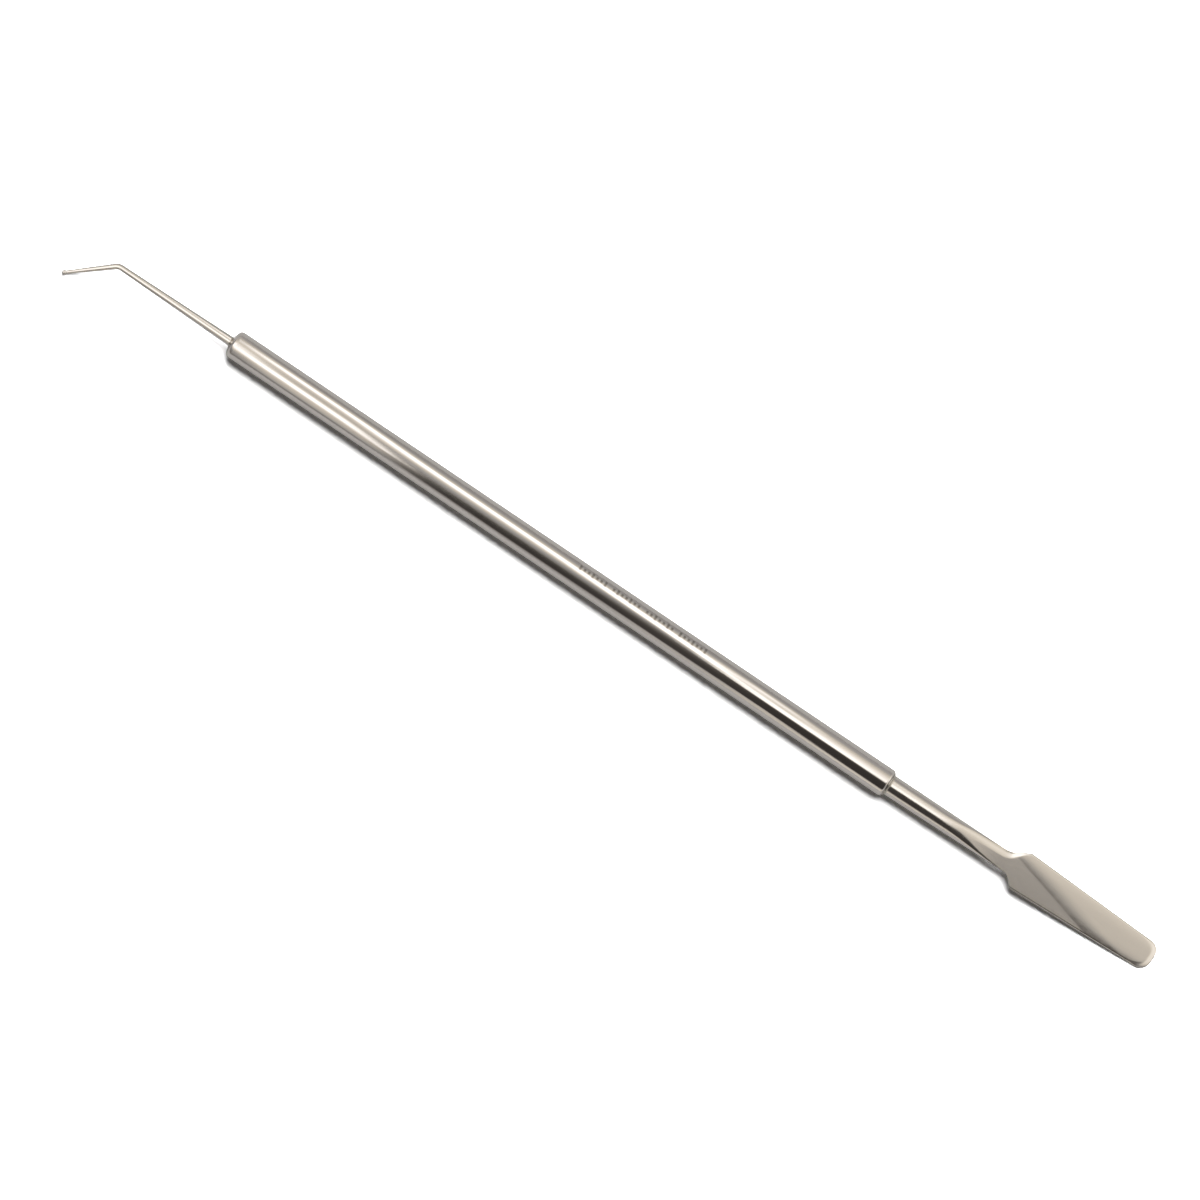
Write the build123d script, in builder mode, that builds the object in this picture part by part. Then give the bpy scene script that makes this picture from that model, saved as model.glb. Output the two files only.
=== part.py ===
from build123d import *
from math import atan2, cos, degrees, hypot, radians, sin, tan
import os

# A double-ended dental hand instrument, in millimetres. It lies on a table as it is put
# down: +X runs from the ball end to the blade, +Z is up, -Y is the side the ball points to.
# The origin is on the table, under the middle of the whole instrument.

# Handle: one plain round bar with a blind socket in each end
handle_d = 4.0
handle_l = 104.6
nose_slope = 18.0           # degrees that the nose cone leans back from a flat end
nose_rounding = 0.7         # radius between the nose cone and the side
end_rounding = 0.35         # radius at the blade end of the bar

# Ball applicator: one wire, ground to a taper, bent once, with a ball on its tip
wire_d = 1.25               # where it leaves the handle
bend_d = 0.75               # through the bend
ball_neck_d = 0.46
ball_d = 0.70
neck_l = 17.8               # from the handle to the corner of the bend
tip_run = 5.6               # from that corner to the ball's centre, along X
tip_reach = 4.6             # from the handle's axis to the ball's centre, along -Y
bend_r = 1.2
applicator_tang_l = 8.0

# Spatula: one forging with a round tapered shank that is pressed flat into a blade
shank_d = 2.96
shank_neck_d = 2.70
spatula_l = 42.0            # from the handle's end to the tip of the blade
flat_start = 9.7            # where the upper flat starts on the round shank
neck_x = 18.7               # where the neck is at its thinnest seen from the side
flare_x = 20.9              # where the blade reaches its full width
neck_t = 0.88
tip_t = 0.50
neck_offset = 0.22          # the neck and blade lie a little to the rear of the axis
blade_rear = 3.04           # from the handle's axis to the wide end's rear edge, +Y
blade_front = 2.51          # and to its front edge, -Y
tip_rear = 2.42             # the same at the tip
tip_front = 1.62
tip_bulge = 1.25            # how far the tip's arc stands beyond its corners
tip_corner_r = 1.0
rear_shoulder_r = 0.15
front_shoulder_r = 0.4
front_flare_in = 0.9        # the front hollow starts this far after the neck
hollow_r = 1.6              # seen from above, where the neck flares out to the blade
underside_r = 14.0          # seen from the side, under the neck
edge_rounding = 0.18
tang_d = 2.4
spatula_tang_l = 10.0
outline_lead = 1.0          # the blade's outline starts this far inside the round shank
outline_inset = 0.05        # and this far inside its sides
past_tip = 1.0              # the side profile runs this far past the tip

# Silver solder that fixes both tangs, with a small fillet outside
solder_t = 0.10
fillet_h = 0.30             # how far the fillet climbs along the shank
nose_fillet_h = 0.12

# Places worked out from the sizes
handle_r = handle_d / 2
wire_r = wire_d / 2
bend_wire_r = bend_d / 2
ball_r = ball_d / 2
shank_r = shank_d / 2
tang_r = tang_d / 2
nose_socket_r = wire_r + solder_t
end_socket_r = tang_r + solder_t
total_l = ball_r + tip_run + neck_l + handle_l + spatula_l
corner_x = -total_l / 2 + ball_r + tip_run
nose_x = corner_x + neck_l
end_x = nose_x + handle_l
axis_y = (tip_reach + ball_r - blade_rear) / 2
axis_z = handle_r
tip_drop = axis_z - ball_r  # the ball rests on the table

# Profiles of round pieces are drawn along X from these planes and turned about X
turning = Plane(origin=(0, axis_y, axis_z), x_dir=(1, 0, 0), z_dir=(0, -1, 0))
turning_axis = Axis((0, axis_y, axis_z), (1, 0, 0))

os.makedirs("parts", exist_ok=True)

# Handle
cone_x = nose_x + (handle_r - nose_socket_r) * tan(radians(nose_slope))
nose_socket_x = nose_x + applicator_tang_l
end_socket_x = end_x - spatula_tang_l

with BuildPart() as handle:
    with BuildSketch(turning) as handle_profile:
        with BuildLine():
            Polyline(
                (nose_socket_x, 0),
                (nose_socket_x, nose_socket_r),
                (nose_x, nose_socket_r),
                (cone_x, handle_r),
                (end_x, handle_r),
                (end_x, end_socket_r),
                (end_socket_x, end_socket_r),
                (end_socket_x, 0),
                close=True,
            )
        make_face()
        outer_corners = handle_profile.vertices().group_by(Axis.Y)[-1].sort_by(Axis.X)
        fillet(outer_corners[0], radius=nose_rounding)
        fillet(outer_corners[-1], radius=end_rounding)
    revolve(axis=turning_axis)

# Ball applicator: the bend lies in a plane that leans down towards the table
side_reach = hypot(tip_reach, tip_drop)
bend_angle = degrees(atan2(side_reach, tip_run))
tip_l = hypot(side_reach, tip_run)
setback = bend_r * tan(radians(bend_angle / 2))
sideways = Vector(0, -tip_reach / side_reach, -tip_drop / side_reach)
forward = Vector(-1, 0, 0)
corner = Vector(corner_x, axis_y, axis_z)
bend_plane = Plane(origin=corner, x_dir=forward, z_dir=forward.cross(sideways))
tip_direction = forward * cos(radians(bend_angle)) + sideways * sin(radians(bend_angle))
tip_plane = Plane(origin=corner + tip_direction * setback, z_dir=tip_direction)
ball_plane = tip_plane.offset(tip_l - setback)
bend_start = Plane(origin=corner - forward * setback, z_dir=forward)

with BuildPart() as ball_applicator:
    with BuildSketch(turning):
        with BuildLine():
            Polyline(
                (nose_socket_x, 0),
                (nose_socket_x, wire_r),
                (nose_x - nose_fillet_h, wire_r),
                (corner_x + setback, bend_wire_r),
                (corner_x + setback, 0),
                close=True,
            )
        make_face()
    revolve(axis=turning_axis)
    with BuildLine(bend_plane) as bend_line:
        JernArc(start=(-setback, 0), tangent=(1, 0), radius=bend_r, arc_size=bend_angle)
    with BuildSketch(bend_start):
        Circle(bend_wire_r)
    sweep(path=bend_line.line)
    with BuildSketch(tip_plane):
        Circle(bend_wire_r)
    with BuildSketch(ball_plane):
        Circle(ball_neck_d / 2)
    loft()
    with Locations(ball_plane):
        Sphere(ball_r)

# Solder round the applicator's tang
with BuildPart() as applicator_solder:
    with BuildSketch(turning):
        with BuildLine():
            Polyline(
                (nose_x - nose_fillet_h, wire_r),
                (nose_socket_x, wire_r),
                (nose_socket_x, nose_socket_r),
                (nose_x, nose_socket_r),
                close=True,
            )
        make_face()
    revolve(axis=turning_axis)

# Solder round the spatula's tang: a sleeve, a thin washer and a hollow fillet outside
washer_x = end_x + solder_t
fillet_r = shank_r + fillet_h

with BuildPart() as spatula_solder:
    with BuildSketch(turning):
        with BuildLine():
            Polyline(
                (washer_x + fillet_h, shank_r),
                (washer_x, shank_r),
                (washer_x, tang_r),
                (end_socket_x, tang_r),
                (end_socket_x, end_socket_r),
                (end_x, end_socket_r),
                (end_x, fillet_r),
                (washer_x, fillet_r),
            )
            RadiusArc((washer_x, fillet_r), (washer_x + fillet_h, shank_r), fillet_h)
        make_face()
    revolve(axis=turning_axis)

# Spatula: the round shank runs into the blade's outline, and both are pressed to one
# side profile, whose upper line is a single straight flat from the shank to the tip
tip_x = end_x + spatula_l
neck = end_x + neck_x
flare = end_x + flare_x
neck_r = shank_neck_d / 2
upper_slope = (axis_z + shank_r - tip_t) / (spatula_l - flat_start)
neck_top = shank_r - upper_slope * (neck_x - flat_start)
neck_bottom = neck_top - neck_t
lower_slope = (neck_bottom + axis_z) / (spatula_l - neck_x)
lead_in_slope = (neck_bottom + shank_r) / (neck_x - flat_start)
profile_l = spatula_l + past_tip
root_x = neck - outline_lead
hair = 0.01                 # reach of a choice of corners by their place
neck_plane = Plane(origin=(neck, axis_y + neck_offset, axis_z), z_dir=(1, 0, 0))
washer_plane = Plane(origin=(washer_x, axis_y, axis_z), z_dir=(1, 0, 0))
tang_plane = Plane(origin=(end_socket_x, axis_y, axis_z), z_dir=(1, 0, 0))


def is_upper(edge):
    """Tells whether an edge lies above the middle of the blade's thickness."""
    place = edge.center()
    middle = axis_z + (neck_top + neck_bottom) / 2
    middle -= (upper_slope + lower_slope) / 2 * (place.X - neck)
    return place.Z > middle


with BuildPart() as spatula:
    with BuildSketch(washer_plane):
        Circle(shank_r)
    with BuildSketch(neck_plane):
        Circle(neck_r)
    loft()
    with BuildSketch(neck_plane):
        Circle(neck_r)
    extrude(amount=flare_x - neck_x)
    with BuildSketch(Plane.XY.offset(-handle_d)) as outline:
        with BuildLine():
            neck_y = axis_y + neck_offset
            tip_corner_x = tip_x - tip_bulge
            blade_rear_y = axis_y + blade_rear
            blade_front_y = axis_y - blade_front
            tip_rear_y = axis_y + tip_rear
            tip_front_y = axis_y - tip_front
            tip_middle_y = (tip_rear_y + tip_front_y) / 2
            Polyline(
                (tip_corner_x, tip_front_y),
                (flare, blade_front_y),
                (neck + front_flare_in, neck_y - neck_r),
                (root_x, neck_y - neck_r + outline_inset),
                (root_x, neck_y + neck_r - outline_inset),
                (neck, neck_y + neck_r),
                (flare, blade_rear_y),
                (tip_corner_x, tip_rear_y),
            )
            ThreePointArc(
                (tip_corner_x, tip_rear_y),
                (tip_x, tip_middle_y),
                (tip_corner_x, tip_front_y),
            )
        make_face()
        tip_corners = outline.vertices().group_by(Axis.X)[-1]
        fillet(tip_corners, radius=tip_corner_r)
        blade_corners = outline.vertices().filter_by_position(Axis.X, flare - hair, flare + hair)
        rear_shoulder = blade_corners.sort_by(Axis.Y)[-1]
        front_shoulder = blade_corners.sort_by(Axis.Y)[0]
        fillet(rear_shoulder, radius=rear_shoulder_r)
        fillet(front_shoulder, radius=front_shoulder_r)
        hollows_end = neck + front_flare_in + hair
        hollows = outline.vertices().filter_by_position(Axis.X, neck - hair, hollows_end)
        fillet(hollows, radius=hollow_r)
    extrude(amount=3 * handle_d)
    with BuildSketch(turning) as side_profile:
        with BuildLine():
            Polyline(
                (end_x, neck_top + upper_slope * neck_x),
                (end_x + profile_l, neck_top - upper_slope * (profile_l - neck_x)),
                (end_x + profile_l, neck_bottom - lower_slope * (profile_l - neck_x)),
                (neck, neck_bottom),
                (end_x, neck_bottom - lead_in_slope * neck_x),
                close=True,
            )
        make_face()
        fillet(side_profile.vertices().filter_by_position(Axis.X, neck, neck), radius=underside_r)
    extrude(amount=handle_d, both=True, mode=Mode.INTERSECT)
    rim = spatula.edges().filter_by_position(Axis.X, flare, tip_x).filter_by(Axis.Z, reverse=True)
    fillet(rim.filter_by(is_upper), radius=edge_rounding)
    with BuildSketch(tang_plane):
        Circle(tang_r)
    extrude(amount=washer_x - end_socket_x)

pieces = {
    "handle": handle,
    "ball_applicator": ball_applicator,
    "applicator_solder": applicator_solder,
    "spatula": spatula,
    "spatula_solder": spatula_solder,
}
for name, piece in pieces.items():
    piece.part.label = name
    export_step(piece.part, f"parts/{name}.step")
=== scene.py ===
"""A double-ended dental instrument: a steel bar handle with a ball-ended wire at one end and
a mixing spatula at the other, lying on a white table."""

import math

import bmesh
import bpy
from bpy.props import FloatProperty, FloatVectorProperty, PointerProperty
from mathutils import Matrix, Vector


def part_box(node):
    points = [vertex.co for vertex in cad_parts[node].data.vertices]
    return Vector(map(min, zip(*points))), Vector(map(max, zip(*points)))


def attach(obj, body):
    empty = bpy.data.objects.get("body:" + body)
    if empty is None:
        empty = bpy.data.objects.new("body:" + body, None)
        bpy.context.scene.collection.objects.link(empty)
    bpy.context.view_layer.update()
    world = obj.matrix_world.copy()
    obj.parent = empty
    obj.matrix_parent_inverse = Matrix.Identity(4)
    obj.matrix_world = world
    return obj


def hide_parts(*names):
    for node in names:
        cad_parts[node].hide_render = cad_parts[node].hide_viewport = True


bl_info = {
    "name": "Double-ended dental instrument",
    "version": (1, 0, 0),
    "blender": (4, 5, 0),
    "location": "3D View > Sidebar > Instrument",
    "description": "Builds a steel dental instrument with a ball-ended wire and a mixing spatula",
    "category": "Add Mesh",
}

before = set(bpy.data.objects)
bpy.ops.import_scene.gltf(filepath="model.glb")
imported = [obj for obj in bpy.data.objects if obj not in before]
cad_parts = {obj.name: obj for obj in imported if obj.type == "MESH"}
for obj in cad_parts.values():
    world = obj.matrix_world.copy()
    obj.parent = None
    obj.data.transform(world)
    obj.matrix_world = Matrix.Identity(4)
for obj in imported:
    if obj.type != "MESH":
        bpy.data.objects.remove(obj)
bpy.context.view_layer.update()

MM = 0.001
BODY = "root"

# The frame's own boxes give every outer size and every place along the instrument
HANDLE_LOW, HANDLE_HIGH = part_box("handle")
WIRE_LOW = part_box("ball_applicator")[0]
SPATULA_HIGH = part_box("spatula")[1]
NOSE_SOLDER_LOW, NOSE_SOLDER_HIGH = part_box("applicator_solder")
END_SOLDER_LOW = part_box("spatula_solder")[0]

HANDLE_R = (HANDLE_HIGH.z - HANDLE_LOW.z) / 2
AXIS_Y = (HANDLE_LOW.y + HANDLE_HIGH.y) / 2
AXIS_Z = (HANDLE_LOW.z + HANDLE_HIGH.z) / 2
NOSE_X = HANDLE_LOW.x
END_X = HANDLE_HIGH.x
TIP_X = SPATULA_HIGH.x
NOSE_SOCKET_X = NOSE_SOLDER_HIGH.x
END_SOCKET_X = END_SOLDER_LOW.x
NOSE_SOCKET_R = (NOSE_SOLDER_HIGH.z - NOSE_SOLDER_LOW.z) / 2
TIP_POWER = 2.8             # of the spatula's tip, where 2 is an ellipse and more is squarer


def linear(hex_colour):
    """Turns an sRGB hex colour such as "#B4AFA8" into linear red, green and blue."""
    parts = [int(hex_colour[i:i + 2], 16) / 255 for i in (1, 3, 5)]
    return [c / 12.92 if c <= 0.04045 else ((c + 0.055) / 1.055) ** 2.4 for c in parts]


def length(name, description, value_mm):
    """A length property, given in millimetres and kept in metres."""
    return FloatProperty(name=name, description=description, default=value_mm * MM, unit="LENGTH")


def angle(name, description, degrees):
    """An angle property, given in degrees."""
    return FloatProperty(name=name, description=description, default=math.radians(degrees),
                         subtype="ANGLE")


def colour(name, description, hex_colour):
    """A colour property, given as an sRGB hex value."""
    return FloatVectorProperty(name=name, description=description, default=linear(hex_colour),
                               size=3, subtype="COLOR", min=0.0, max=1.0)


class HandleSettings(bpy.types.PropertyGroup):
    """Sizes and colours of the bar handle."""
    nose_slope: angle("Nose slope", "How far the nose cone leans back from a flat end", 18.0)
    nose_rounding: length("Nose rounding", "Radius between the nose cone and the side", 0.7)
    end_rounding: length("End rounding", "Radius at the blade end of the bar", 0.35)
    steel: colour("Steel", "Polished stainless bar", "#BEB8B2")
    mark: colour("Mark", "Etched marks on the bar", "#9A948D")
    mark_start: length("Marks start", "Where the row of etched marks starts, along X", -6.6)
    mark_end: length("Marks end", "Where the row of etched marks ends, along X", 13.9)
    mark_height: length("Mark height", "Height of the tallest mark, round the bar", 0.8)
    mark_pitch: length("Mark pitch", "Distance between marks", 0.66)
    mark_turn: angle("Mark turn", "How far the row stands round from the top, to the rear", 27.5)


class WireSettings(bpy.types.PropertyGroup):
    """Sizes and colours of the ball applicator."""
    root: length("Root", "Thickness of the wire where it leaves the handle", 1.36)
    bend: length("Bend", "Thickness of the wire through its bend", 0.84)
    bend_radius: length("Bend radius", "Radius of the bend, at the middle of the wire", 1.2)
    neck: length("Neck", "From the handle to the corner of the bend", 17.8)
    ball_neck: length("Ball neck", "Thickness of the wire behind the ball", 0.50)
    ball: length("Ball", "Diameter of the ball", 0.70)
    ball_blend: FloatProperty(name="Ball blend", default=0.1, min=0.0, max=0.5,
                              description="Share of the ball that flows into the wire")
    steel: colour("Steel", "Ground stainless wire", "#C1BBB4")


class SpatulaSettings(bpy.types.PropertyGroup):
    """Sizes and colours of the spatula."""
    tang: length("Tang", "Thickness of the tang inside the handle", 2.4)
    shank: length("Shank", "Thickness of the round shank at the handle", 2.96)
    neck_width: length("Neck width", "Width of the neck, where it is narrowest", 2.70)
    neck_place: length("Neck place", "From the handle to the thinnest place of the neck", 18.7)
    neck_thickness: length("Neck thickness", "Thickness of the neck", 0.88)
    neck_shift: length("Neck shift", "How far the neck lies to the rear of the handle's axis", 0.22)
    rear_lead: length("Rear lead", "How far before the neck its rear side turns", 0.3)
    front_lead: length("Front lead", "How far after the neck its front side turns", 0.9)
    rear_hollow: length("Rear hollow", "Radius of the rear hollow at the neck", 3.0)
    front_hollow: length("Front hollow", "Radius of the front hollow at the neck", 1.6)
    flat_start: length("Flat start", "Where the upper flat starts on the shank", 9.7)
    underside: length("Underside", "Softness of the bend under the neck", 0.27)
    flare: length("Flare", "From the handle to the shoulders of the blade", 20.9)
    rear_shoulder: length("Rear shoulder", "From the handle's axis to the rear shoulder", 3.04)
    front_shoulder: length("Front shoulder", "From the handle's axis to the front shoulder", 2.51)
    rear_corner: length("Rear corner", "Radius of the rear shoulder", 0.15)
    front_corner: length("Front corner", "Radius of the front shoulder", 0.45)
    rear_tip: length("Rear tip", "From the handle's axis to the rear side, carried on to the tip", 2.38)
    front_tip: length("Front tip", "From the axis to the front side, carried on to the tip", 1.56)
    tip_rounding: length("Tip rounding", "Length of the rounded tip", 1.9)
    tip_thickness: length("Tip thickness", "Thickness of the blade at the tip", 0.5)
    rim: length("Rim", "Rounding along the sides of the blade", 0.22)
    tip_rim: length("Tip rim", "Length of the rolled edge at the tip", 1.2)
    press_run: length("Press run", "How far past the shoulders the section is fully flat", 0.4)
    edge_softness: length("Edge softness", "Softness of the upper face's edges on the blade", 0.06)
    front_softness: length("Front softness", "The same along the front of the neck", 0.3)
    rear_softness: length("Rear softness", "The same along the rear of the neck", 1.3)
    softening: length("Softening", "From the flat's start to where its rear edge softens", 1.0)
    crown: length("Crown", "How far the blade's upper face falls towards its sides", 0.045)
    crown_start: length("Crown start", "How far before the crease the crown starts", 1.0)
    crown_full: length("Crown full", "How far past the crease the crown is full", 1.5)
    swell: length("Swell", "How far the blade's upper face swells out of the neck's flat", 0.062)
    swell_run: length("Swell run", "Width of the slope where the blade swells out", 1.9)
    crease_place: length("Crease place", "From the handle to a point of the crease", 26.9)
    crease_side: length("Crease side", "From the handle's axis to that point, to the rear", -0.35)
    crease_turn: angle("Crease turn", "How far the crease turns across the blade", 14.5)
    neck_lean: angle("Neck lean", "How far the neck's flat leans to the front", 2.35)
    steel: colour("Steel", "Buffed forged stainless", "#BEB8B1")


class SolderSettings(bpy.types.PropertyGroup):
    """Sizes and colours of the solder at both ends of the handle."""
    thickness: length("Thickness", "Thickness of the solder round a tang", 0.10)
    fillet: length("Fillet", "Height of the hollow fillet at the spatula", 0.30)
    nose_fillet: length("Nose fillet", "Height of the fillet at the wire", 0.12)
    metal: colour("Metal", "Silver solder", "#A8A298")


class StageSettings(bpy.types.PropertyGroup):
    """The table, the light and the camera."""
    floor_size: FloatProperty(name="Floor size", description="Side of the white table",
                              default=8.0, unit="LENGTH")
    floor: colour("Floor", "White laminate", "#EDEDED")
    # Painted shade: a darker copy of the table's white, which only the polished steel mirrors
    shaded_floor_in_steel: colour("Floor in steel", "The same as the polished steel shows it", "#707070")
    table_light: FloatProperty(name="Table light", description="Strength of the light on the table",
                               default=16.0, min=0.0)
    light_lean: angle("Light lean", "How far to the rear of straight above that light stands", 34.0)
    light_spread: angle("Light spread", "How broad that light looks from the table", 54.0)
    tent_light: FloatProperty(name="Tent light", description="Brightness of the light tent",
                              default=0.66, min=0.0)
    tent_cloth: colour("Tent cloth", "Lit cloth of the light tent", "#FFFAF0")
    tent_shade: colour("Tent shade", "Cloth of the light tent that no lamp lights", "#FFF5EF")
    view_width: length("View width", "Width of the view, at the instrument", 158.4)
    camera_distance: FloatProperty(name="Camera distance", description="From the instrument to the lens",
                                   default=1.4, unit="LENGTH")
    lean: angle("Lean", "How far the camera leans from straight above towards the front", 4.0)
    roll: angle("Roll", "How far the instrument is turned in the view", 33.96)
    centre_x: length("Centre X", "Where the middle of the view is, along X", -1.95)
    centre_y: length("Centre Y", "Where the middle of the view is, along Y", -0.14)


# ---------------------------------------------------------------------------------------
# Shapes

SAME_PLACE = 0.0001 * MM    # points closer than this are joined


def circle_ring(x, radius, segments):
    """Points of one circle round the handle's axis."""
    turns = (2 * math.pi * i / segments for i in range(segments))
    return [Vector((x, AXIS_Y + radius * math.cos(a), AXIS_Z + radius * math.sin(a))) for a in turns]


def rounded(points, radii, steps=10):
    """A line of 2-D points with some corners rounded: radii maps a corner's index to its radius."""
    line = []
    for i, point in enumerate(points):
        here = Vector(point)
        radius = radii.get(i, 0.0)
        if radius == 0.0:
            line.append(here)
            continue
        back = (Vector(points[i - 1]) - here).normalized()
        ahead = (Vector(points[i + 1]) - here).normalized()
        half = back.angle(ahead) / 2
        reach = radius / math.tan(half)
        centre = here + (back + ahead).normalized() * (radius / math.sin(half))
        start = here + back * reach - centre
        stop = here + ahead * reach - centre
        sweep = start.angle_signed(stop)
        for k in range(steps + 1):
            turn = -sweep * k / steps
            line.append(centre + Vector((start.x * math.cos(turn) - start.y * math.sin(turn),
                                         start.x * math.sin(turn) + start.y * math.cos(turn))))
    return line


def skin(name, rings, sharp_degrees=28.0):
    """A smooth mesh over rings of equal size. Edges that turn by more than the angle stay sharp,
    and an end whose ring is a single point is closed."""
    mesh = bmesh.new()
    rows = [[mesh.verts.new(point) for point in ring] for ring in rings]
    for row, following in zip(rows, rows[1:]):
        for k in range(len(row)):
            after = (k + 1) % len(row)
            mesh.faces.new((row[k], row[after], following[after], following[k]))
    bmesh.ops.remove_doubles(mesh, verts=mesh.verts, dist=SAME_PLACE)
    bmesh.ops.dissolve_degenerate(mesh, edges=mesh.edges, dist=SAME_PLACE)
    bmesh.ops.recalc_face_normals(mesh, faces=mesh.faces)
    data = bpy.data.meshes.new(name)
    mesh.to_mesh(data)
    mesh.free()
    data.polygons.foreach_set("use_smooth", [True] * len(data.polygons))
    data.set_sharp_from_angle(angle=math.radians(sharp_degrees))
    piece = bpy.data.objects.new(name, data)
    bpy.context.scene.collection.objects.link(piece)
    return piece


def lathe(name, outline, segments=160):
    """A piece turned about the handle's axis from (x, radius) points."""
    return skin(name, [circle_ring(x, radius, segments) for x, radius in outline])


def between(stops, place):
    """The value at a place, read from (place, value) stops joined by straight lines."""
    for (start, low), (stop, high) in zip(stops, stops[1:]):
        if place <= stop:
            return low + (high - low) * max(0.0, place - start) / (stop - start)
    return stops[-1][1]


def smooth_step(value, start, stop):
    """Goes from 0 at start to 1 at stop, level at both ends."""
    share = min(1.0, max(0.0, (value - start) / (stop - start)))
    return share * share * (3 - 2 * share)


def soft_min(a, b, blend):
    """The smaller of two values, blended where they are close."""
    share = max(blend - abs(a - b), 0.0) / blend
    return min(a, b) - share * share * blend / 4


def finish_piece(piece, node, material):
    """Makes a piece stand for its CAD node, with its material."""
    piece.data.materials.append(material)
    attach(piece, BODY)
    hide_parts(node)


# ---------------------------------------------------------------------------------------
# Materials

MOST_OF_NOISE = (0.3, 0.7)  # where nearly all of a noise pattern's values lie
ROUGHNESS_SPREAD = 0.2      # share by which the hairlines vary the roughness
TICK_SHARE = 0.5            # share of the pitch that an etched tick takes
SHORT_TICK = 0.55           # height of a short tick, as a share of a tall one
TALL_EVERY = 3              # every third tick is tall
GAP_EVERY = 8               # every eighth tick is left out


def add_node(tree, kind, inputs=(), **settings):
    """Adds one node with its settings, and sets or links its inputs."""
    made = tree.nodes.new(kind)
    for key, value in settings.items():
        setattr(made, key, value)
    for key, value in dict(inputs).items():
        socket = made.inputs[key]
        if isinstance(value, bpy.types.NodeSocket):
            tree.links.new(value, socket)
        else:
            socket.default_value = value
    return made


def empty_material(name):
    """A material with nodes on and nothing in it."""
    material = bpy.data.materials.new(name)
    material.use_nodes = True
    material.node_tree.nodes.clear()
    return material


def hairline_steel(name, base, roughness, grain_mm, depth_mm, stretch=20):
    """Stainless steel polished lengthwise: bright, slightly warm, with hairlines along the piece
    that fray each highlight a little. The hairlines are drawn coarser than the real ones, which
    are too fine to show, and stretch times as long as wide. Returns the material and its shader."""
    material = empty_material(name)
    tree = material.node_tree
    across = 1.0 / (grain_mm * MM)
    place = add_node(tree, "ShaderNodeTexCoord")
    drawn = add_node(tree, "ShaderNodeMapping", {"Vector": place.outputs["Object"],
                                                   "Scale": (across / stretch, across, across)})
    hairs = add_node(tree, "ShaderNodeTexNoise", {"Vector": drawn.outputs["Vector"], "Scale": 1.0,
                                                  "Detail": 3.0, "Roughness": 0.6})
    rough = add_node(tree, "ShaderNodeMapRange", {"Value": hairs.outputs["Fac"],
                                                  "From Min": MOST_OF_NOISE[0],
                                                  "From Max": MOST_OF_NOISE[1],
                                                  "To Min": roughness * (1 - ROUGHNESS_SPREAD),
                                                  "To Max": roughness * (1 + ROUGHNESS_SPREAD)})
    bump = add_node(tree, "ShaderNodeBump", {"Height": hairs.outputs["Fac"], "Strength": 1.0,
                                             "Distance": depth_mm * MM})
    steel = add_node(tree, "ShaderNodeBsdfPrincipled", {"Base Color": (*base, 1.0), "Metallic": 1.0,
                                                        "Roughness": rough.outputs["Result"],
                                                        "Normal": bump.outputs["Normal"]})
    add_node(tree, "ShaderNodeOutputMaterial", {"Surface": steel.outputs["BSDF"]})
    return material, steel


def etch_marks(tree, steel, s):
    """A row of small etched ticks along the bar, a little darker than the polish. Every third
    one is taller, and every eighth one is left out. They stand for a marking and say nothing."""
    place = add_node(tree, "ShaderNodeTexCoord")
    parts = add_node(tree, "ShaderNodeSeparateXYZ", {"Vector": place.outputs["Object"]})

    def calculate(operation, *values):
        return add_node(tree, "ShaderNodeMath", dict(enumerate(values)), operation=operation).outputs[0]

    step = calculate("DIVIDE", calculate("SUBTRACT", parts.outputs["X"], s.mark_start), s.mark_pitch)
    count = calculate("FLOOR", step)
    tick = calculate("LESS_THAN", calculate("FRACT", step), TICK_SHARE)
    tall = calculate("LESS_THAN", calculate("MODULO", count, TALL_EVERY), 0.5)
    present = calculate("LESS_THAN", calculate("MODULO", count, GAP_EVERY), GAP_EVERY - 1.5)
    half = s.mark_height / 2 / HANDLE_R
    reach = calculate("MULTIPLY_ADD", tall, half * (1 - SHORT_TICK), half * SHORT_TICK)
    turned = calculate("ARCTAN2", calculate("SUBTRACT", parts.outputs["Y"], AXIS_Y),
                       calculate("SUBTRACT", parts.outputs["Z"], AXIS_Z))
    around = calculate("COMPARE", turned, s.mark_turn, reach)
    along = calculate("COMPARE", parts.outputs["X"], (s.mark_start + s.mark_end) / 2,
                      (s.mark_end - s.mark_start) / 2)
    mark = calculate("MULTIPLY", calculate("MULTIPLY", tick, around),
                     calculate("MULTIPLY", present, along))
    blend = add_node(tree, "ShaderNodeMix", {"Factor": mark, "A": (*s.steel, 1.0), "B": (*s.mark, 1.0)},
                     data_type="RGBA")
    tree.links.new(blend.outputs["Result"], steel.inputs["Base Color"])


def white_laminate(name, base):
    """White table laminate: matt, even and very pale."""
    material = empty_material(name)
    tree = material.node_tree
    board = add_node(tree, "ShaderNodeBsdfPrincipled", {"Base Color": (*base, 1.0), "Roughness": 0.9,
                                                        "Specular IOR Level": 0.0})
    add_node(tree, "ShaderNodeOutputMaterial", {"Surface": board.outputs["BSDF"]})
    return material


# ---------------------------------------------------------------------------------------
# Pieces

REAR_EDGE = (-0.4, 0.6)     # across the spatula, from front softness to rear softness
LEAST_BLEND = 1e-6 * MM     # keeps a blend from being nothing


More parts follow.
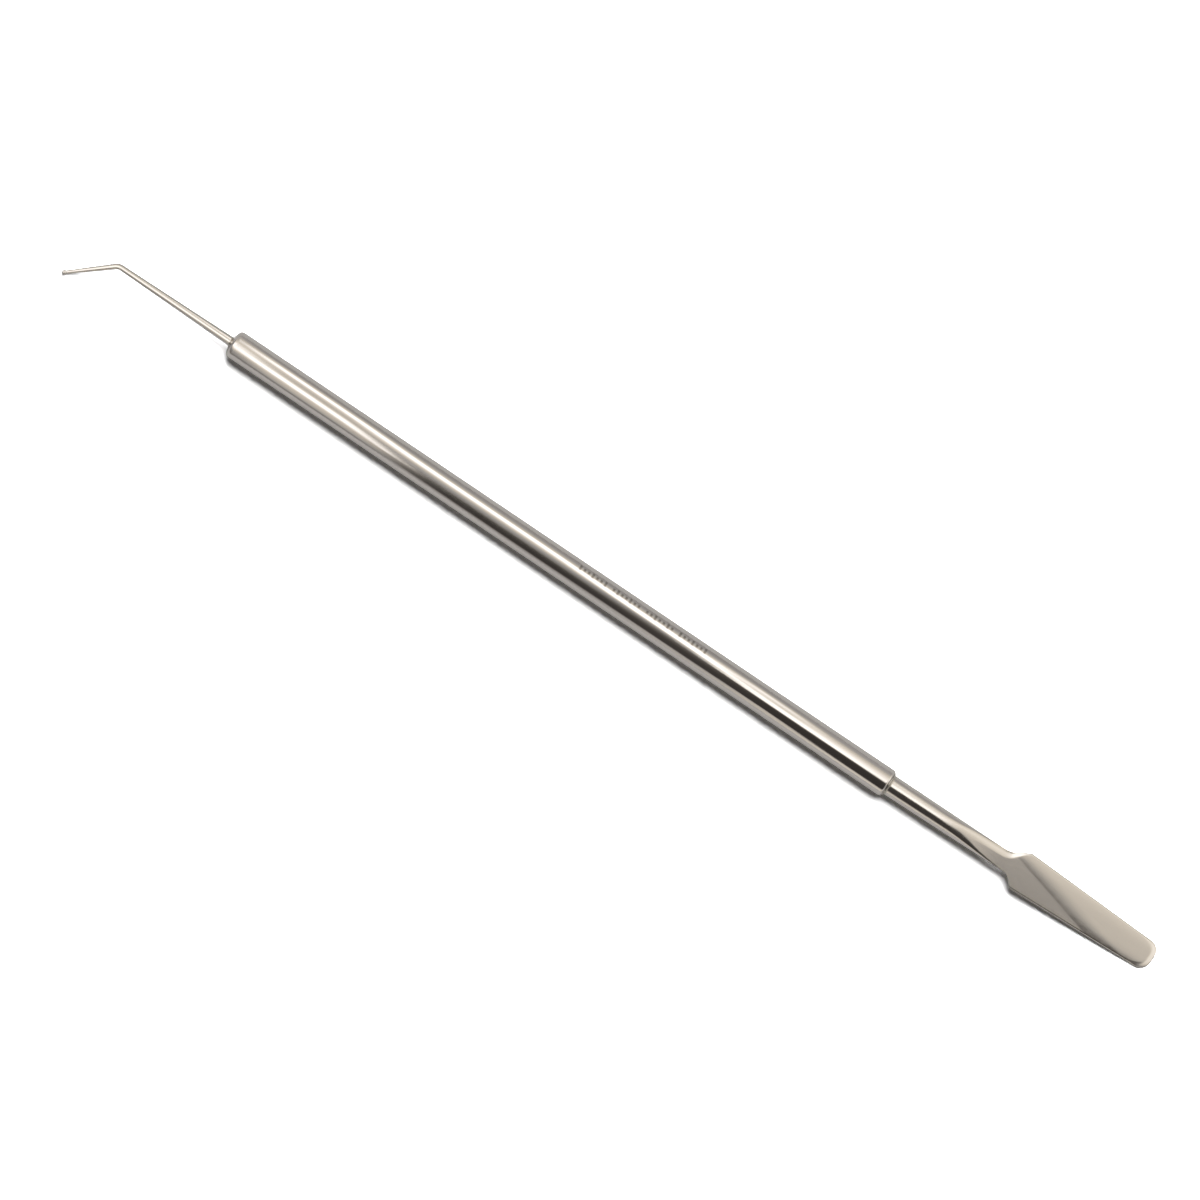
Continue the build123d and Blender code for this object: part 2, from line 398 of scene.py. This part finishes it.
class INSTRUMENT_OT_handle(bpy.types.Operator):
    """Builds the bar handle with its coned nose and its two sockets"""
    bl_idname = "instrument.handle"
    bl_label = "Bar handle"

    def execute(self, context):
        s = context.scene.instrument_handle
        spatula = context.scene.instrument_spatula
        solder = context.scene.instrument_solder
        cone_x = NOSE_X + (HANDLE_R - NOSE_SOCKET_R) * math.tan(s.nose_slope)
        end_socket_r = spatula.tang / 2 + solder.thickness
        outline = rounded([
            (NOSE_SOCKET_X, 0.0),
            (NOSE_SOCKET_X, NOSE_SOCKET_R),
            (NOSE_X, NOSE_SOCKET_R),
            (cone_x, HANDLE_R),
            (END_X, HANDLE_R),
            (END_X, end_socket_r),
            (END_SOCKET_X, end_socket_r),
            (END_SOCKET_X, 0.0),
        ], {3: s.nose_rounding, 4: s.end_rounding})
        handle = lathe("bar_handle", outline)
        # Stainless bar, drawn and polished lengthwise: it mirrors long sharp bands, barely frayed
        material, steel = hairline_steel("polished_stainless_bar", s.steel, roughness=0.1,
                                         grain_mm=0.2, depth_mm=0.0015)
        etch_marks(material.node_tree, steel, s)
        finish_piece(handle, "handle", material)
        return {"FINISHED"}


class INSTRUMENT_OT_ball_applicator(bpy.types.Operator):
    """Builds the tapered wire, its bend and the ball on its tip"""
    bl_idname = "instrument.ball_applicator"
    bl_label = "Ball applicator"

    def execute(self, context):
        s = context.scene.instrument_wire
        ball_r = s.ball / 2
        corner = Vector((NOSE_X - s.neck, AXIS_Y, AXIS_Z))
        ball = Vector((WIRE_LOW.x + ball_r, WIRE_LOW.y + ball_r, WIRE_LOW.z + ball_r))
        along = Vector((-1.0, 0.0, 0.0))
        tip = (ball - corner).normalized()
        tip_length = (ball - corner).length
        turn = along.angle(tip)
        setback = s.bend_radius * math.tan(turn / 2)
        side = (tip - along * tip.dot(along)).normalized()
        across = along.cross(side)
        bend_steps, straight_steps, ball_steps, around = 24, 40, 32, 56
        tang_end = Vector((NOSE_SOCKET_X, AXIS_Y, AXIS_Z))
        root = Vector((NOSE_X, AXIS_Y, AXIS_Z))
        bend_start = corner - along * setback
        # (place, direction, radius) along the wire, from the end of its tang to the ball's far side
        stations = [(tang_end, along, 0.0), (tang_end, along, s.root / 2)]
        for i in range(straight_steps):
            share = i / straight_steps
            thickness = s.root + (s.bend - s.root) * share
            stations.append((root.lerp(bend_start, share), along, thickness / 2))
        centre = bend_start + side * s.bend_radius
        for i in range(bend_steps):
            a = turn * i / bend_steps
            place = centre + (along * math.sin(a) - side * math.cos(a)) * s.bend_radius
            stations.append((place, along * math.cos(a) + side * math.sin(a), s.bend / 2))
        bend_end = corner + tip * setback
        meets = math.sqrt(ball_r ** 2 - (s.ball_neck / 2) ** 2)
        tip_end = ball - tip * (meets + s.ball_blend * ball_r)
        for i in range(straight_steps + 1):
            share = i / straight_steps
            thickness = s.bend + (s.ball_neck - s.bend) * share
            stations.append((bend_end.lerp(tip_end, share), tip, thickness / 2))
        first = math.asin(s.ball_neck / s.ball) * (1 + 1.5 * s.ball_blend)
        for i in range(ball_steps + 1):
            a = first + (math.pi - first) * i / ball_steps
            stations.append((ball - tip * (ball_r * math.cos(a)), tip, ball_r * math.sin(a)))
        rings = []
        for place, direction, radius in stations:
            sideways = across.cross(direction).normalized()
            rings.append([place + (sideways * math.cos(a) + across * math.sin(a)) * radius
                          for a in (2 * math.pi * k / around for k in range(around))])
        wire = skin("ball_ended_wire", rings)
        # Stainless wire, ground to a taper: its finer hairlines leave it a touch duller than the bar
        material = hairline_steel("ground_stainless_wire", s.steel, roughness=0.12,
                                  grain_mm=0.12, depth_mm=0.001)[0]
        finish_piece(wire, "ball_applicator", material)
        return {"FINISHED"}


def blade_sides(s, root_x):
    """The rear and the front side of the spatula seen from above, as if the tip weren't rounded."""
    neck_x = END_X + s.neck_place
    neck_y = AXIS_Y + s.neck_shift
    flare_x = END_X + s.flare
    half_neck = s.neck_width / 2
    rear = rounded([
        (root_x, AXIS_Y + s.shank / 2),
        (neck_x - s.rear_lead, neck_y + half_neck),
        (flare_x, AXIS_Y + s.rear_shoulder),
        (TIP_X, AXIS_Y + s.rear_tip),
    ], {1: s.rear_hollow, 2: s.rear_corner}, steps=16)
    front = rounded([
        (root_x, AXIS_Y - s.shank / 2),
        (neck_x + s.front_lead, neck_y - half_neck),
        (flare_x, AXIS_Y - s.front_shoulder),
        (TIP_X, AXIS_Y - s.front_tip),
    ], {1: s.front_hollow, 2: s.front_corner}, steps=16)
    return rear, front


def upper_face(s, x, y, across):
    """How far the spatula's upper face lies above or below one straight flat.

    The flat of the neck leans a little to the front. The blade swells out of it along a
    crease that runs slantwise over the blade, and is crowned from side to side.
    """
    beside = y - AXIS_Y - s.crease_side
    beyond = x - END_X - s.crease_place
    off_crease = beside * math.cos(s.crease_turn) + beyond * math.sin(s.crease_turn)
    if off_crease < 0:
        rise = -s.swell + off_crease * math.tan(s.neck_lean)
    else:
        rise = -s.swell * max(0.0, 1 - off_crease / s.swell_run) ** 2
    on_blade = smooth_step(off_crease, -s.crown_start, s.crown_full)
    crown = -s.crown * across ** 4 * on_blade
    return (rise + crown) * smooth_step(x, END_X + s.flat_start, END_X + s.neck_place)


class INSTRUMENT_OT_spatula(bpy.types.Operator):
    """Builds the tang, the round shank, the pressed neck and the blade"""
    bl_idname = "instrument.spatula"
    bl_label = "Spatula"

    def execute(self, context):
        s = context.scene.instrument_spatula
        root_x = END_X + context.scene.instrument_solder.thickness
        rear_side, front_side = blade_sides(s, root_x)
        neck_x = END_X + s.neck_place
        upper_slope = (AXIS_Z + s.shank / 2 - s.tip_thickness) / (TIP_X - END_X - s.flat_start)
        neck_top = AXIS_Z + s.shank / 2 - upper_slope * (s.neck_place - s.flat_start)
        neck_bottom = neck_top - s.neck_thickness
        lower_slope = neck_bottom / (TIP_X - neck_x)
        lead_slope = (neck_bottom - AXIS_Z + s.shank / 2) / (s.neck_place - s.flat_start)
        tip_start = TIP_X - s.tip_rounding
        half_steps, body_steps, tip_steps = 72, 300, 60
        spots = [math.sin(math.pi / 2 * (2 * i / half_steps - 1)) for i in range(half_steps + 1)]

        def ring(x, rear, front, blunt):
            """A closed section at x. The blunt share is how far x is into the rounded tip."""
            middle_y = (rear + front) / 2
            half_width = (rear - front) / 2
            narrowed = max(0.0, 1 - blunt ** TIP_POWER) ** (1 / TIP_POWER)
            flat_top = neck_top - upper_slope * (x - neck_x)
            flat_bottom = soft_min(neck_bottom + lead_slope * (x - neck_x),
                                   neck_bottom - lower_slope * (x - neck_x), s.underside)
            pressed = smooth_step(x, neck_x, END_X + s.flare + s.press_run)
            softened = smooth_step(x, END_X + s.flat_start + s.softening, neck_x)
            seam = AXIS_Z + ((flat_top + flat_bottom) / 2 - AXIS_Z) * smooth_step(
                x, END_X + s.flat_start, neck_x)
            rim = s.rim + (s.tip_rim - s.rim) * smooth_step(x, tip_start - s.tip_rim, TIP_X)
            rim = half_width + (rim - half_width) * pressed
            upper, lower = [], []
            for spot in spots:
                across = spot * narrowed
                y = middle_y + across * half_width
                reached = (blunt ** TIP_POWER + abs(across) ** TIP_POWER) ** (1 / TIP_POWER)
                if blunt == 0:
                    reached = abs(across)
                inward = (1 - reached) * half_width
                arch = math.sqrt(max(0.0, 1 - max(0.0, 1 - inward / rim) ** 2))
                top = flat_top + upper_face(s, x, y, across)
                rise = half_width + (top - seam - half_width) * pressed
                fall = half_width + (seam - flat_bottom - half_width) * pressed
                rear_share = smooth_step(spot, *REAR_EDGE) * softened
                softness = s.front_softness + (s.rear_softness - s.front_softness) * rear_share
                softness += (s.edge_softness - softness) * pressed
                blend = softness * min(1.0, 2 * arch) + LEAST_BLEND
                high = soft_min(seam + rise * arch, top, blend)
                low = -soft_min(fall * arch - seam, -flat_bottom, blend)
                upper.append(Vector((x, y, max(seam, high))))
                lower.append(Vector((x, y, min(seam, low))))
            return upper + list(reversed(lower[1:-1]))

        rings = []
        for x, radius in ((END_SOCKET_X, 0.0), (END_SOCKET_X, s.tang / 2), (root_x, s.tang / 2)):
            upper, lower = [], []
            for spot in spots:
                y = AXIS_Y + radius * spot
                height = radius * math.sqrt(1 - spot * spot)
                upper.append(Vector((x, y, AXIS_Z + height)))
                lower.append(Vector((x, y, AXIS_Z - height)))
            rings.append(upper + list(reversed(lower[1:-1])))
        body_run = tip_start - root_x
        stations = [(root_x + body_run * i / body_steps, 0.0) for i in range(body_steps + 1)]
        for i in range(1, tip_steps + 1):
            blunt = math.sin(math.pi / 2 * i / tip_steps) ** (2 / TIP_POWER)
            stations.append((tip_start + s.tip_rounding * blunt, blunt))
        for x, blunt in stations:
            rings.append(ring(x, between(rear_side, x), between(front_side, x), blunt))
        spatula = skin("spatula_blade", rings, sharp_degrees=50.0)
        # Forged stainless, buffed all over: short cloudy hairlines soften what its flats mirror
        material = hairline_steel("buffed_forged_stainless", s.steel, roughness=0.15,
                                  grain_mm=0.4, depth_mm=0.0015, stretch=3)[0]
        finish_piece(spatula, "spatula", material)
        return {"FINISHED"}


class INSTRUMENT_OT_solder(bpy.types.Operator):
    """Builds the solder round both tangs, with its fillets"""
    bl_idname = "instrument.solder"
    bl_label = "Solder"

    def execute(self, context):
        s = context.scene.instrument_solder
        wire_r = context.scene.instrument_wire.root / 2
        spatula = context.scene.instrument_spatula
        shank_r, tang_r = spatula.shank / 2, spatula.tang / 2
        washer_x = END_X + s.thickness
        # Silver solder, left as it flowed and set: greyer and rougher than the steel
        silver = hairline_steel("flowed_silver_solder", s.metal, roughness=0.22,
                                grain_mm=0.3, depth_mm=0.003)[0]
        nose = [
            (NOSE_X - s.nose_fillet, wire_r),
            (NOSE_SOCKET_X, wire_r),
            (NOSE_SOCKET_X, NOSE_SOCKET_R),
            (NOSE_X, NOSE_SOCKET_R),
            (NOSE_X - s.nose_fillet, wire_r),
        ]
        ring = lathe("wire_solder", nose)
        finish_piece(ring, "applicator_solder", silver)
        fillet_steps = 10
        turns = [math.pi / 2 * i / fillet_steps for i in range(fillet_steps + 1)]
        hollow = [(washer_x + s.fillet * (1 - math.cos(a)), shank_r + s.fillet * (1 - math.sin(a)))
                  for a in turns]
        end = [
            (washer_x, shank_r),
            (washer_x, tang_r),
            (END_SOCKET_X, tang_r),
            (END_SOCKET_X, tang_r + s.thickness),
            (END_X, tang_r + s.thickness),
            (END_X, shank_r + s.fillet),
            *hollow,
            (washer_x, shank_r),
        ]
        ring = lathe("spatula_solder_ring", end)
        finish_piece(ring, "spatula_solder", silver)
        return {"FINISHED"}


# ---------------------------------------------------------------------------------------
# Stage

# Brightness of the light tent's wall, by angle from straight up in degrees: the rear is
# negative, the front positive. A long soft box stands over the rear. The front is lit at the
# ball end and black from there to the blade.
WALLS = {
    "wire": ((-90, 0.75), (-75, 1.10), (-46, 1.20), (-21, 1.90), (-5, 3.20), (20, 3.40), (33, 2.20),
             (46, 1.10), (58, 0.60), (75, 0.45), (90, 0.45)),
    "nose": ((-90, 0.70), (-72, 0.80), (-62, 1.35), (-52, 2.40), (-45, 4.20), (-36, 3.60), (-27, 2.00),
             (-18, 1.50), (-8, 1.25), (2, 1.60), (10, 2.90), (17, 4.20), (28, 4.00), (35, 2.40),
             (45, 1.60), (60, 1.45), (72, 1.05), (82, 0.55), (90, 0.50)),
    "bright": ((-90, 0.70), (-72, 0.80), (-62, 1.25), (-52, 2.20), (-45, 4.00), (-30, 4.20), (-21, 2.60),
               (-13, 2.00), (-5, 1.40), (4, 0.80), (12, 0.75), (19, 1.30), (26, 2.80), (32, 4.20),
               (39, 4.20), (45, 2.40), (52, 1.60), (64, 1.45), (74, 1.10), (82, 0.55), (90, 0.50)),
    "fading": ((-90, 0.68), (-70, 0.80), (-60, 1.05), (-50, 1.50), (-43, 2.40), (-37, 4.20), (-24, 3.60),
               (-13, 2.00), (0, 1.15), (10, 0.85), (19, 0.60), (32, 0.18), (45, 0.11), (69, 0.09),
               (76, 0.45), (83, 0.80), (90, 0.85)),
    "black": ((-90, 0.64), (-70, 0.76), (-60, 0.95), (-48, 1.25), (-42, 1.60), (-36, 3.60), (-28, 4.50),
              (-15, 4.50), (-6, 1.40), (4, 0.55), (18, 0.28), (32, 0.14), (64, 0.11), (73, 1.00),
              (78, 1.10), (90, 1.15)),
    "end": ((-90, 0.80), (-72, 0.75), (-62, 1.10), (-52, 2.00), (-45, 3.40), (-36, 2.60), (-24, 1.40),
            (-16, 3.00), (-8, 3.80), (5, 3.70), (9, 1.00), (12, 0.20), (20, 0.11), (50, 0.09),
            (60, 0.08), (65, 1.50), (90, 1.40)),
    "shank": ((-90, 0.75), (-62, 0.95), (-42, 1.70), (-30, 2.30), (-16, 3.00), (-8, 3.80), (4, 3.70),
              (9, 1.00), (12, 0.20), (20, 0.10), (68, 0.08), (74, 1.50), (90, 1.80)),
    "blade": ((-90, 0.80), (-50, 2.00), (-25, 2.30), (-16, 2.00), (-10, 1.80), (-5, 1.60), (-3, 1.45),
              (-1.5, 1.15), (0, 1.05), (1.3, 0.88), (2.1, 0.25), (4, 0.10), (10, 0.10), (64, 0.10),
              (70, 1.40), (90, 1.40)),
    "tip": ((-90, 0.80), (-60, 2.30), (-20, 2.50), (0, 2.30), (15, 1.50), (30, 0.80), (60, 0.60),
            (90, 1.40)),
}
# Which wall stands where, in millimetres along the instrument, with even changes between them
WALL_PLACES = (
    (-200, "wire"), (-94, "wire"), (-90, "nose"), (-64, "nose"), (-58, "bright"), (-57, "bright"),
    (-49, "fading"), (-10, "fading"), (18, "black"), (30, "black"), (44, "end"), (54, "end"),
    (57, "shank"), (74, "shank"), (100, "blade"), (200, "blade"), (250, "tip"),
)
TENT_R = 0.35               # metres from the instrument to the cloth
TENT_REACH = 0.9            # metres from the middle to either end of the tent
TENT_SPAN = (-200, 300)     # millimetres along the instrument where the wall changes
TENT_STEP = 4
BURNT_OUT = 3.0             # level at which the cloth is pure white again
HUE_PLACES = (0.1, 0.2, 0.3, 0.45, 0.7)
ROOM_BAND = (0.07, 0.14)    # heights between which the room goes from pale to dim
ROOM_LIGHT = (1.0, 0.05)
TABLE_GAP = 0.02 * MM       # the mirrored table lies this far below the seen one
ALL_BUT_GLOSSY = ("camera", "diffuse", "transmission", "volume_scatter", "shadow")


def hide_from(thing, *rays):
    """Makes something unseen by some kinds of light ray."""
    for ray in rays:
        setattr(thing, f"visible_{ray}", False)


def set_tent(brightness, warm, shade):
    """A light tent round the instrument, seen by the polished steel alone. Its cloth is warm
    where the lamps shine through it, white where they burn through, and brownish in the dark."""
    near = [x * MM for x in range(TENT_SPAN[0], TENT_SPAN[1] + 1, TENT_STEP)]
    stations = [-TENT_REACH, *near, TENT_REACH]
    mesh = bmesh.new()
    light = mesh.verts.layers.float.new("light")
    rows = []
    for degrees in range(-90, 91):
        a = math.radians(degrees)
        places = [(place, between(WALLS[wall], degrees)) for place, wall in WALL_PLACES]
        row = []
        for x in stations:
            corner = mesh.verts.new((x, -TENT_R * math.sin(a), TENT_R * math.cos(a)))
            corner[light] = between(places, x / MM) * brightness
            row.append(corner)
        rows.append(row)
    for a, b in zip(rows, rows[1:]):
        for i in range(len(stations) - 1):
            mesh.faces.new((a[i], a[i + 1], b[i + 1], b[i]))
    data = bpy.data.meshes.new("light_tent")
    mesh.to_mesh(data)
    mesh.free()
    tent = bpy.data.objects.new("light_tent", data)
    bpy.context.scene.collection.objects.link(tent)
    material = empty_material("lit_tent_cloth")
    tree = material.node_tree
    level = add_node(tree, "ShaderNodeAttribute", attribute_name="light")
    share = add_node(tree, "ShaderNodeMapRange", {"Value": level.outputs["Fac"],
                                                  "From Max": BURNT_OUT * brightness})
    hue = add_node(tree, "ShaderNodeValToRGB", {"Fac": share.outputs["Result"]})
    white = (1.0, 1.0, 1.0)
    hue.color_ramp.elements[0].color = (*shade, 1.0)
    hue.color_ramp.elements[-1].color = (*white, 1.0)
    for place, tint in zip(HUE_PLACES, (shade, white, white, warm, warm)):
        hue.color_ramp.elements.new(place).color = (*tint, 1.0)
    glow = add_node(tree, "ShaderNodeEmission", {"Color": hue.outputs["Color"],
                                                 "Strength": level.outputs["Fac"]})
    add_node(tree, "ShaderNodeOutputMaterial", {"Surface": glow.outputs["Emission"]})
    data.materials.append(material)
    hide_from(tent, *ALL_BUT_GLOSSY)


def set_room():
    """The room: a pale band all round at table height, and dim above it."""
    world = bpy.data.worlds.new("room")
    world.use_nodes = True
    tree = world.node_tree
    tree.nodes.clear()
    place = add_node(tree, "ShaderNodeTexCoord")
    parts = add_node(tree, "ShaderNodeSeparateXYZ", {"Vector": place.outputs["Generated"]})
    level = add_node(tree, "ShaderNodeMapRange", {"Value": parts.outputs["Z"],
                                                  "From Min": ROOM_BAND[0], "From Max": ROOM_BAND[1],
                                                  "To Min": ROOM_LIGHT[0], "To Max": ROOM_LIGHT[1]})
    light = add_node(tree, "ShaderNodeBackground", {"Strength": level.outputs["Result"]})
    add_node(tree, "ShaderNodeOutputWorld", {"Surface": light.outputs["Background"]})
    bpy.context.scene.world = world


def set_table_light(s):
    """A broad soft light over the rear, which whitens the table and drops the soft shadow."""
    lamp = bpy.data.lights.new("table_light", "SUN")
    lamp.energy = s.table_light
    lamp.angle = s.light_spread
    holder = bpy.data.objects.new("table_light", lamp)
    holder.rotation_euler = (-s.light_lean, 0.0, 0.0)
    hide_from(holder, "glossy")
    bpy.context.scene.collection.objects.link(holder)


def set_table(name, half, height, material):
    """A square table top. One is what the eye sees; the other is a darker copy with painted shade, which
    only the steel mirrors.
    """
    data = bpy.data.meshes.new(name)
    corners = [(-half, -half), (half, -half), (half, half), (-half, half)]
    data.from_pydata([(x, y, height) for x, y in corners], [], [(0, 1, 2, 3)])
    data.materials.append(material)
    table = bpy.data.objects.new(name, data)
    bpy.context.scene.collection.objects.link(table)
    return table


def set_camera(s):
    """The camera nearly straight above, turned so that the instrument runs down to the right."""
    camera = bpy.data.cameras.new("camera")
    camera.sensor_width = 36.0
    camera.lens = camera.sensor_width * s.camera_distance / s.view_width
    camera.clip_end = 20.0
    holder = bpy.data.objects.new("camera", camera)
    bpy.context.scene.collection.objects.link(holder)
    target = Vector((s.centre_x, s.centre_y, AXIS_Z))
    back = Vector((0.0, -math.sin(s.lean), math.cos(s.lean)))
    right = Vector((1.0, 0.0, 0.0))
    up = back.cross(right)
    turned_right = right * math.cos(s.roll) + up * math.sin(s.roll)
    turned_up = back.cross(turned_right)
    holder.location = target + back * s.camera_distance
    basis = Matrix((turned_right, turned_up, back)).transposed()
    holder.rotation_mode = "QUATERNION"
    holder.rotation_quaternion = basis.to_quaternion()
    bpy.context.scene.camera = holder


class INSTRUMENT_OT_stage(bpy.types.Operator):
    """Sets the white table, the studio light and the camera"""
    bl_idname = "instrument.stage"
    bl_label = "Stage"

    def execute(self, context):
        s = context.scene.instrument_stage
        half = s.floor_size / 2
        lit = set_table("table", half, 0.0, white_laminate("white_laminate", s.floor))
        hide_from(lit, "glossy", "shadow")
        # Painted shade: the table that the steel mirrors is a darker copy of the white laminate, so the
        # table's reflections come out dimmer than the table itself
        shaded = white_laminate("shaded_laminate", s.shaded_floor_in_steel)
        mirrored = set_table("table_in_steel", half, -TABLE_GAP, shaded)
        hide_from(mirrored, *ALL_BUT_GLOSSY)
        set_room()
        set_tent(s.tent_light, s.tent_cloth, s.tent_shade)
        set_table_light(s)
        set_camera(s)
        context.scene.view_settings.view_transform = "Standard"
        return {"FINISHED"}


class INSTRUMENT_PT_pieces(bpy.types.Panel):
    """Lists the pieces of the instrument"""
    bl_idname = "INSTRUMENT_PT_pieces"
    bl_label = "Dental instrument"
    bl_space_type = "VIEW_3D"
    bl_region_type = "UI"
    bl_category = "Instrument"

    def draw(self, context):
        for operator in OPERATORS:
            self.layout.operator(operator.bl_idname)


SETTINGS = {
    "instrument_handle": HandleSettings,
    "instrument_wire": WireSettings,
    "instrument_spatula": SpatulaSettings,
    "instrument_solder": SolderSettings,
    "instrument_stage": StageSettings,
}
OPERATORS = (
    INSTRUMENT_OT_handle,
    INSTRUMENT_OT_ball_applicator,
    INSTRUMENT_OT_spatula,
    INSTRUMENT_OT_solder,
    INSTRUMENT_OT_stage,
)


def register():
    for kind in (*SETTINGS.values(), *OPERATORS, INSTRUMENT_PT_pieces):
        bpy.utils.register_class(kind)
    for name, kind in SETTINGS.items():
        setattr(bpy.types.Scene, name, PointerProperty(type=kind))


def unregister():
    for name in SETTINGS:
        delattr(bpy.types.Scene, name)
    for kind in (INSTRUMENT_PT_pieces, *reversed(OPERATORS), *reversed(SETTINGS.values())):
        bpy.utils.unregister_class(kind)


def main():
    register()
    bpy.ops.instrument.handle()
    bpy.ops.instrument.ball_applicator()
    bpy.ops.instrument.spatula()
    bpy.ops.instrument.solder()
    bpy.ops.instrument.stage()


if __name__ == "__main__":
    main()
